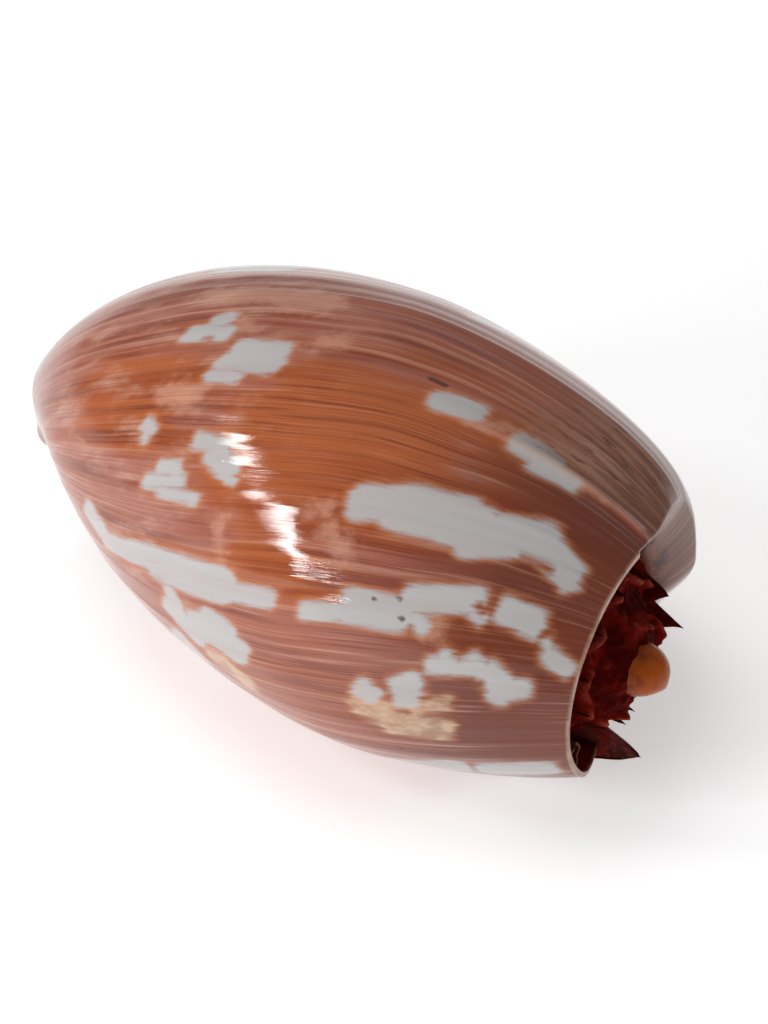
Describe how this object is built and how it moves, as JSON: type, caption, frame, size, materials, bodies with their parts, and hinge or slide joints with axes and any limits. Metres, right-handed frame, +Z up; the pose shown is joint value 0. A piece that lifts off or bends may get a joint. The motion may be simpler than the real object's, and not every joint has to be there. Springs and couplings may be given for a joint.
{
  "type": "baler shell",
  "caption": "Large swollen spiral sea shell with a wide mouth underneath, a low spire inside a sharp rim, a crown of short spines and a smooth domed first whorl.",
  "frame": {"origin": "on the ground, under the middle of the bounding box", "axes": "+Z up with the shell lying on its mouth; +X along the coiling axis towards the spire; the outer lip is on the +Y side"},
  "size_m": [0.24, 0.158, 0.1269],
  "materials": {
    "shell_surface": "natural gloss with worn patches, brown with white blotches"
  },
  "bodies": {
    "root": {"shell": "shell_surface"}
  },
  "joints": []
}
